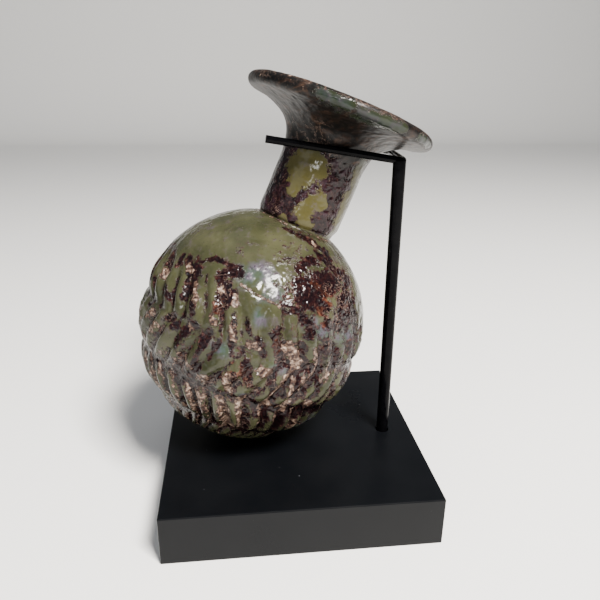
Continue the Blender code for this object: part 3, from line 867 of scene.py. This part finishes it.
# %% How glossy each finish is
# Blown glass is smooth, with a roughness near 0.1. Crust is a little duller, mineral is chalky,
# and the flare's crust is dullest. The IOR is 1.5, near soda-lime glass's 1.52. The specular
# level is low, matched to a surface that weathering has frosted finer than the render can show.
GLASS_FROM, GLASS_TO = 0.08, 0.26
rough = add_node(tree, "ShaderNodeMapRange", {
    "Value": patterns["blotches"], "From Min": 0.3, "From Max": 0.7,
    "To Min": GLASS_FROM, "To Max": GLASS_TO}).outputs["Result"]
flare_crust = add_node(tree, "ShaderNodeMath", {0: on_flare, 1: crust_and_shade_mask}, operation="MULTIPLY").outputs[0]
for mask, roughness in ((crust_and_shade_mask, 0.16), (pale_mask, 0.36), (flare_crust, 0.42)):
    dulled = add_node(tree, "ShaderNodeMath", {0: mask, 1: roughness}, operation="MULTIPLY").outputs[0]
    rough = add_node(tree, "ShaderNodeMath", {0: rough, 1: dulled}, operation="MAXIMUM").outputs[0]
tree.links.new(rough, shader.inputs["Roughness"])
shader.inputs["IOR"].default_value = 1.5
shader.inputs["Specular IOR Level"].default_value = 0.20
print("roughness of clean glass:", GLASS_FROM, "to", GLASS_TO)

# %% Pits and dents too fine for the mesh
# Pits are deep in crust and mineral, faint on clean glass, and shallow all over the neck.
# The depth is in millimetres, and the rest are shares of it.
BUMP_DEPTH = 0.6
PITS_IN_CRUST, PITS_ON_GLASS, NECK_SMOOTHING = 1.25, 0.22, 0.85
DENTS, CRUST_HOLLOW = 0.80, 0.45
coarse = add_node(tree, "ShaderNodeMath", {0: crust_and_shade_mask, 1: pale_mask}, operation="MAXIMUM").outputs[0]
depth = add_node(tree, "ShaderNodeMath", {0: coarse, 1: PITS_IN_CRUST, 2: PITS_ON_GLASS},
                 operation="MULTIPLY_ADD").outputs[0]
even = add_node(tree, "ShaderNodeMath", {0: on["neck"], 1: -NECK_SMOOTHING, 2: 1.0},
                operation="MULTIPLY_ADD").outputs[0]
pits = add_node(tree, "ShaderNodeMath", {0: patterns["pits"], 1: even}, operation="MULTIPLY").outputs[0]
dents = add_node(tree, "ShaderNodeMath", {0: patterns["dents"], 1: DENTS}, operation="MULTIPLY").outputs[0]
height = add_node(tree, "ShaderNodeMath", {0: pits, 1: depth, 2: dents}, operation="MULTIPLY_ADD").outputs[0]
height = add_node(tree, "ShaderNodeMath", {0: crust_and_shade_mask, 1: -CRUST_HOLLOW, 2: height},
                  operation="MULTIPLY_ADD").outputs[0]
bump = add_node(tree, "ShaderNodeBump", {"Height": height, "Strength": 0.8, "Distance": BUMP_DEPTH * MM})
tree.links.new(bump.outputs["Normal"], shader.inputs["Normal"])
skin.materials.append(glass)
print("nodes in the glass:", len(tree.nodes))

# %% [markdown]
# ## The block
#
# The real block is cast acrylic, sawn to size and polished to a satin. That gives the eye an
# even, cool black with a blurred reflection, on which every speck of dust shows. Dust could be
# modelled as tiny meshes, but it has no height that anyone could see. A Voronoi texture places
# one speck in some of its cells instead, and haze varies the polish a little.

# %% Satin black acrylic with dust on it
# Real dust is about 0.1 mm across, less than a pixel, so the widest speck is drawn as 0.3 mm
HAZE_WIDTH = 16.667
DUST_SPACING = 2.6316
# The reach of the widest speck, as a share of the spacing
DUST_REACH = 0.055
acrylic, tree, shader = fresh_material("satin_black_acrylic")
place = add_node(tree, "ShaderNodeTexCoord").outputs["Object"]
haze = add_node(tree, "ShaderNodeTexNoise", {
    "Vector": place, "Scale": per_metre(HAZE_WIDTH), "Detail": 4.0}).outputs["Fac"]
cells = add_node(tree, "ShaderNodeTexVoronoi", {"Vector": place, "Scale": per_metre(DUST_SPACING)}).outputs
luck = add_node(tree, "ShaderNodeSeparateColor", {"Color": cells["Color"]}).outputs["Red"]
speck_size = add_node(tree, "ShaderNodeMapRange", {
    "Value": luck, "From Min": 0.80, "From Max": 1.0, "To Max": DUST_REACH}).outputs["Result"]
dust = add_node(tree, "ShaderNodeMath", {0: cells["Distance"], 1: speck_size},
                operation="LESS_THAN").outputs[0]
black = add_node(tree, "ShaderNodeValToRGB", {"Fac": haze}, [(0.3, "#050608"), (0.7, "#08090b")])
dusty = lay_over(tree, black.outputs["Color"], [(dust, linear("#585a5e"))])
tree.links.new(dusty, shader.inputs["Base Color"])
print("widest speck, mm:", round(2.0 * DUST_REACH * DUST_SPACING, 2))

# %% The polish of the acrylic
# Acrylic's IOR is 1.49. The specular level is matched to how little light the block gives back.
polish = add_node(tree, "ShaderNodeMapRange", {
    "Value": haze, "From Min": 0.3, "From Max": 0.7, "To Min": 0.26, "To Max": 0.36}).outputs["Result"]
tree.links.new(polish, shader.inputs["Roughness"])
shader.inputs["Specular IOR Level"].default_value = 0.14
shader.inputs["IOR"].default_value = 1.49
print("nodes in the acrylic:", len(tree.nodes))

# %% [markdown]
# ## The post and the fork
#
# The real ones are steel rod and wire, bent cold and dipped or sprayed with gloss black enamel.
# That gives the eye a deep black with one thin, clear line of light along each rod. A metal
# under a coat could be drawn with both layers, but no light reaches the steel, so the enamel
# alone is drawn. A faint ripple keeps the line of light from being ruler-straight.

# %% Gloss black enamel
# Real enamel ripples are about 1 mm wide, and are drawn coarser so that they show. Enamel's IOR
# is about 1.5. Its roughness and specular level are matched to the thin line of light on a rod.
RIPPLE_WIDTH = 2.5
RIPPLE_HEIGHT = 0.2
enamel, tree, shader = fresh_material("gloss_black_enamel")
place = add_node(tree, "ShaderNodeTexCoord").outputs["Object"]
ripple = add_node(tree, "ShaderNodeTexNoise", {
    "Vector": place, "Scale": per_metre(RIPPLE_WIDTH), "Detail": 2.0}).outputs["Fac"]
black = add_node(tree, "ShaderNodeValToRGB", {"Fac": ripple}, [(0.3, "#020203"), (0.7, "#050506")])
tree.links.new(black.outputs["Color"], shader.inputs["Base Color"])
shader.inputs["Roughness"].default_value = 0.14
shader.inputs["Specular IOR Level"].default_value = 0.04
shader.inputs["IOR"].default_value = 1.5
bump = add_node(tree, "ShaderNodeBump", {"Height": ripple, "Strength": 0.15, "Distance": RIPPLE_HEIGHT * MM})
tree.links.new(bump.outputs["Normal"], shader.inputs["Normal"])
print("nodes in the enamel:", len(tree.nodes))

# %% Dress the stand
for node_name, material in (("base_block", acrylic), ("post", enamel), ("neck_fork", enamel)):
    for material_slot in frame["nodes"][node_name].material_slots:
        material_slot.material = material
print("stand dressed")

# %% [markdown]
# ## The floor
#
# In a studio an object stands on a sheet of matt pale paper that runs back and curves up, so
# that no edge shows behind it. A plane and a wall would leave a line where they meet. One strip
# of faces along a bent outline gives the same soft sweep as the paper.

# %% A sheet of pale paper, in metres
BEND_STEPS = 12


def sweep_sheet(name, half_width, front, back, rise, bend):
    """A floor that curves up into a low backdrop."""
    outline = [(front, 0.0), (back - bend, 0.0)]
    for step in range(1, BEND_STEPS + 1):
        angle = math.radians(90.0 * step / BEND_STEPS)
        outline.append((back - bend + bend * math.sin(angle), bend - bend * math.cos(angle)))
    outline.append((back, rise))
    vertices = [(side, y, z) for y, z in outline for side in (-half_width, half_width)]
    faces = [(2 * i, 2 * i + 1, 2 * i + 3, 2 * i + 2) for i in range(len(outline) - 1)]
    mesh = bpy.data.meshes.new(name)
    mesh.from_pydata(vertices, [], faces)
    mesh.shade_smooth()
    sheet = bpy.data.objects.new(name, mesh)
    bpy.context.scene.collection.objects.link(sheet)
    return sheet


# Uncoated paper scatters light evenly, so it is nearly fully rough
paper, tree, shader = fresh_material("pale_paper")
shader.inputs["Base Color"].default_value = linear("#e3e3e1")
shader.inputs["Roughness"].default_value = 0.9
floor = sweep_sheet("floor", half_width=1.6, front=-0.9, back=1.15, rise=0.32, bend=0.15)
floor.data.materials.append(paper)
print("faces in the floor:", len(floor.data.polygons))

# %% [markdown]
# ## Lights
#
# Glass is shown best by one strong soft light, because each bright shape in the room shows again
# as a highlight on it. A sky image could light the scene, but its shapes can't be placed. So a
# softbox stands high at the front right, where the highlight on the body asks for it. Three
# weaker lights and a dim room fill the shadows, so that the black stand keeps its form.

# %% Four softboxes aimed at the middle of the bottle
AIM = Vector((-0.008, 0.004, 0.055))


def soft_light(name, direction, distance, size, power, colour):
    lamp = bpy.data.lights.new(name, "AREA")
    lamp.shape = "RECTANGLE"
    lamp.size, lamp.size_y = size
    lamp.energy = power
    lamp.color = linear(colour)[:3]
    holder = bpy.data.objects.new(name, lamp)
    holder.location = AIM + Vector(direction).normalized() * distance
    holder.rotation_euler = (AIM - holder.location).to_track_quat("-Z", "Y").to_euler()
    bpy.context.scene.collection.objects.link(holder)


# Name, direction, distance in metres, sides in metres, watts and colour
soft_light("window", (0.29, -0.53, 0.78), 0.70, (0.20, 0.18), 26.0, "#fffaf4")
soft_light("low_front", (-0.30, -0.90, 0.30), 0.70, (0.08, 0.08), 0.7, "#ffffff")
soft_light("fill_left", (-0.90, -0.60, 0.50), 0.90, (0.50, 0.50), 1.2, "#f2f5ff")
soft_light("overhead", (0.0, 0.20, 1.0), 1.10, (0.80, 0.80), 1.5, "#ffffff")
print("lights:", len(bpy.data.lights))

# %% The dim room around
world = bpy.data.worlds.new("studio")
world.use_nodes = True
background = world.node_tree.nodes["Background"]
background.inputs["Color"].default_value = linear("#c9ccd2")
background.inputs["Strength"].default_value = 0.36
bpy.context.scene.world = world
print("room light:", round(background.inputs["Strength"].default_value, 2))

# %% [markdown]
# ## The camera
#
# The bottle was photographed from close by and a little above, which widens the near edge of
# the block. The view could be matched by trial, but a few degrees off would shift every mark. So
# place, turn and lens were solved once from the six corners of the block that show, and are
# written down here in metres, radians and millimetres.

# %% A camera at the solved place
camera_data = bpy.data.cameras.new("camera")
camera_data.sensor_width = 36.0
camera_data.lens = 35.6557
camera_data.clip_start = 0.01
camera = bpy.data.objects.new("camera", camera_data)
camera.location = (-0.0164935, -0.1626084, 0.1192673)
camera.rotation_euler = Euler((1.21482720, -0.00918174447, -0.112742640), "XYZ")
bpy.context.scene.collection.objects.link(camera)
bpy.context.scene.camera = camera
print("camera at", [round(v, 4) for v in camera.location])
